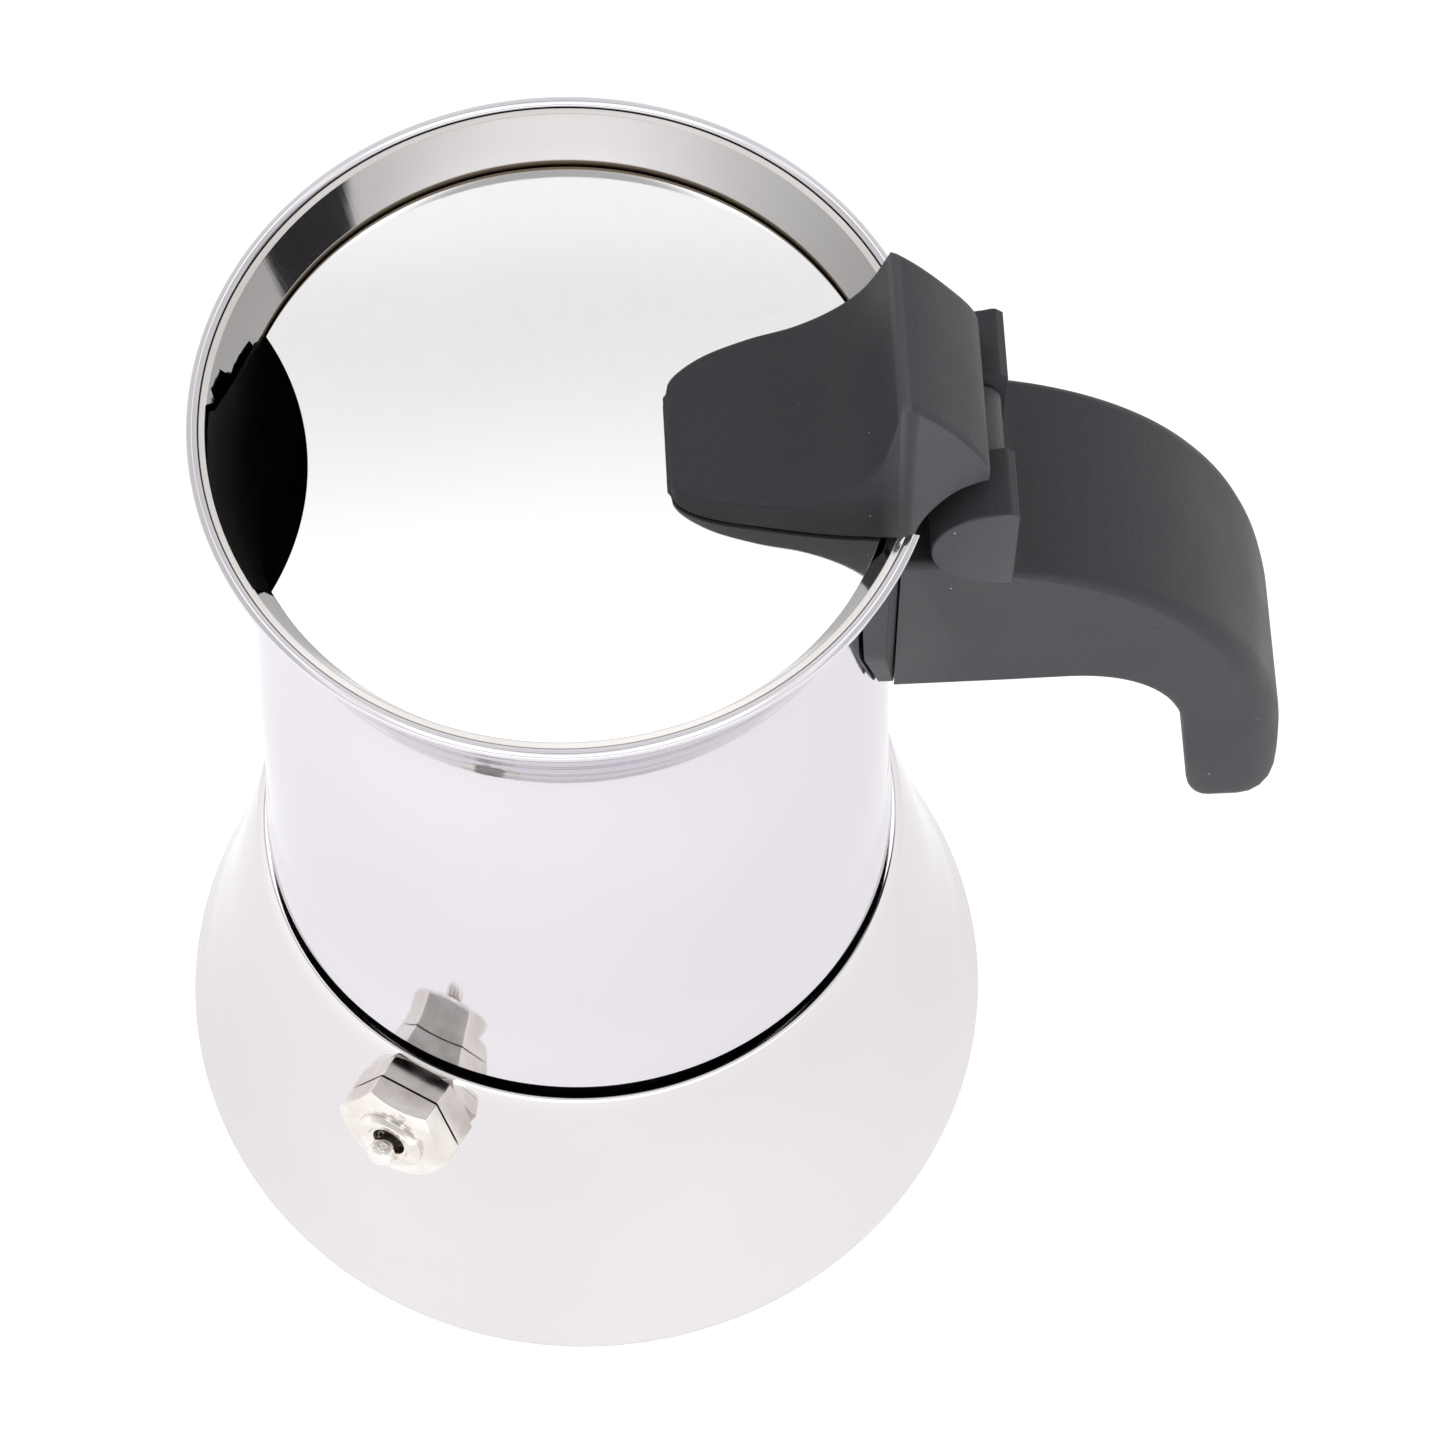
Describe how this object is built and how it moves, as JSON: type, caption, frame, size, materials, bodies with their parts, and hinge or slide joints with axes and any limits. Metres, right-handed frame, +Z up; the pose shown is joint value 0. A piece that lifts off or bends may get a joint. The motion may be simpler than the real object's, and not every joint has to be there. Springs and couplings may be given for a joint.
{
  "type": "moka pot",
  "caption": "Stovetop coffee maker: flared conical boiler with safety valve, screw-on tapered collector with spout, hinged lid with lever knob, hook handle.",
  "frame": {"origin": "centre of the underside of the base disc, on the pot's axis, on the surface it stands on", "axes": "+Z up along the pot's axis, +X towards the handle, -X towards the spout"},
  "size_m": [0.1372, 0.1046, 0.1762],
  "materials": {
    "mirror_steel": "mirror-polished stainless steel",
    "satin_steel": "satin stainless steel",
    "nickel_plate": "nickel-plated brass, softly polished",
    "black_nylon": "matt charcoal moulded nylon with a fine grain",
    "silicone": "translucent white silicone"
  },
  "bodies": {
    "boiler": {"boiler_shell": "mirror_steel", "base_disc": "satin_steel", "valve_washer": "silicone", "valve_collar": "nickel_plate", "valve_body": "nickel_plate", "valve_nut": "nickel_plate", "valve_seat": "nickel_plate", "valve_spring": "satin_steel", "funnel_basket": "satin_steel", "funnel_tube": "satin_steel", "funnel_screen": "satin_steel"},
    "valve_pin": {"valve_plunger": "nickel_plate"},
    "seal": {"gasket": "silicone"},
    "collector": {"filter_plate": "satin_steel", "collector_shell": "mirror_steel", "threaded_ring": "satin_steel", "collector_floor": "satin_steel", "column": "satin_steel", "column_cap": "satin_steel", "rim_band": "mirror_steel", "handle_bracket": "satin_steel", "handle_saddle": "black_nylon", "handle": "black_nylon", "handle_screw": "satin_steel", "handle_nut": "satin_steel", "hinge_pin": "satin_steel"},
    "lid": {"lid": "mirror_steel", "lid_knob": "black_nylon", "knob_screw_front": "satin_steel", "knob_screw_rear": "satin_steel"}
  },
  "joints": [
    {"name": "collector_lift", "type": "slide", "parent": "boiler", "child": "seal", "axis": [0, 0, 1], "range_m": [0, 0.0061]},
    {"name": "collector_turn", "type": "hinge", "parent": "seal", "child": "collector", "pos_m": [0, 0, 0.061], "axis": [0, 0, 1], "range_deg": [0, 720]},
    {"name": "lid_hinge", "type": "hinge", "parent": "collector", "child": "lid", "pos_m": [0.0455, 0, 0.1515], "axis": [0, 1, 0], "range_deg": [0, 105]},
    {"name": "valve_lift", "type": "slide", "parent": "boiler", "child": "valve_pin", "axis": [-0.5093, -0.8376, 0.1977], "range_m": [0, 0.002], "stiffness_N_per_m": 500, "springref_m": -0.004, "deforming": ["valve_spring"]}
  ],
  "couplings": [
    {"joint": "collector_lift", "follows": "collector_turn", "m_per_rad": 0.00047746}
  ]
}
